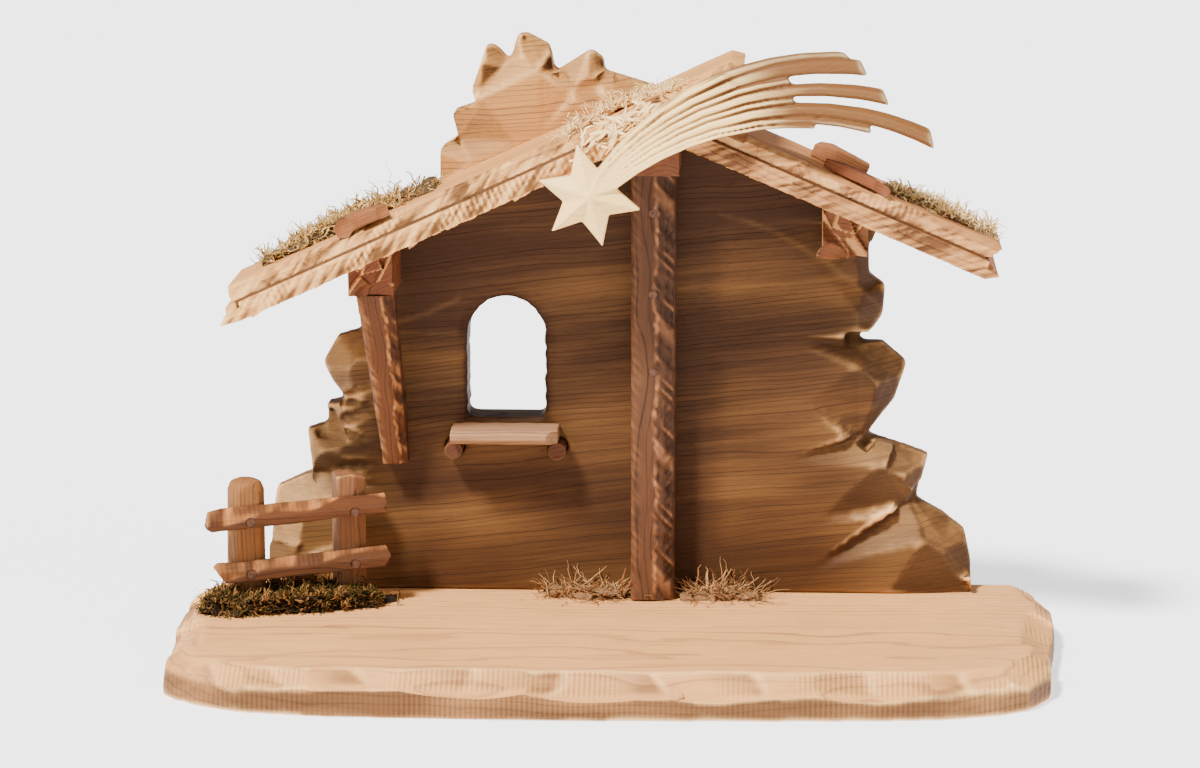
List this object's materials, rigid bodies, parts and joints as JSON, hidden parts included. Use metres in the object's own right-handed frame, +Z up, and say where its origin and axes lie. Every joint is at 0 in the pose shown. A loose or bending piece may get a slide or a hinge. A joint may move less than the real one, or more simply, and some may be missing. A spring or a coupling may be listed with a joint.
{
  "type": "nativity stable",
  "caption": "Carved wooden nativity stable with a chip-carved base, lobed back wall with an arched window, double-boarded gable roof, comet star and a small fence.",
  "frame": {"origin": "middle of the base board's footprint, on its underside", "axes": "+X to the right along the wall, +Y from the open front to the back wall, +Z up"},
  "size_m": [0.308, 0.145, 0.2134],
  "materials": {
    "base_board": "pale oiled board",
    "back_wall": "brown stained board, lighter carved edges",
    "ridge_purlin": "brown stained",
    "left_purlin": "brown stained",
    "right_purlin": "brown stained",
    "centre_post": "brown stained",
    "left_brace": "dark brown stained",
    "roof_left_lower": "golden tan stained, pale bevels",
    "roof_left_upper": "golden tan stained, pale bevels",
    "roof_right_lower": "golden tan stained, pale bevels",
    "roof_right_upper": "golden tan stained, pale bevels",
    "left_ledge_chip": "pale top, brown facets",
    "right_ledge_chip_front": "red brown",
    "right_ledge_chip_back": "tan",
    "comet_star": "natural maple, shaded tips",
    "window_shelf": "brown stained",
    "shelf_pegs": "dark brown",
    "fence_post_left": "brown stained, hewn",
    "fence_post_right": "brown stained, hewn",
    "fence_rail_top": "brown stained, hewn",
    "fence_rail_bottom": "brown stained, hewn",
    "moss_bed_fence": "dried moss",
    "moss_roof_left": "dried moss",
    "moss_roof_right": "dried moss",
    "straw_ridge": "chopped straw",
    "straw_floor": "chopped straw",
    "base_screws": "zinc plated",
    "purlin_screws": "zinc plated",
    "roof_brads": "dull",
    "post_nails": "dull",
    "brace_nail": "dull",
    "fence_nails": "dark",
    "fence_dowels": "beech"
  },
  "bodies": {
    "root": {"base_board": "base_board", "back_wall": "back_wall", "ridge_purlin": "ridge_purlin", "left_purlin": "left_purlin", "right_purlin": "right_purlin", "centre_post": "centre_post", "left_brace": "left_brace", "roof_left_lower": "roof_left_lower", "roof_left_upper": "roof_left_upper", "roof_right_lower": "roof_right_lower", "roof_right_upper": "roof_right_upper", "left_ledge_chip": "left_ledge_chip", "right_ledge_chip_front": "right_ledge_chip_front", "right_ledge_chip_back": "right_ledge_chip_back", "comet_star": "comet_star", "window_shelf": "window_shelf", "shelf_pegs": "shelf_pegs", "fence_post_left": "fence_post_left", "fence_post_right": "fence_post_right", "fence_rail_top": "fence_rail_top", "fence_rail_bottom": "fence_rail_bottom", "moss_bed_fence": "moss_bed_fence", "moss_roof_left": "moss_roof_left", "moss_roof_right": "moss_roof_right", "straw_ridge": "straw_ridge", "straw_floor": "straw_floor", "base_screws": "base_screws", "purlin_screws": "purlin_screws", "roof_brads": "roof_brads", "post_nails": "post_nails", "brace_nail": "brace_nail", "fence_nails": "fence_nails", "fence_dowels": "fence_dowels"}
  },
  "joints": []
}
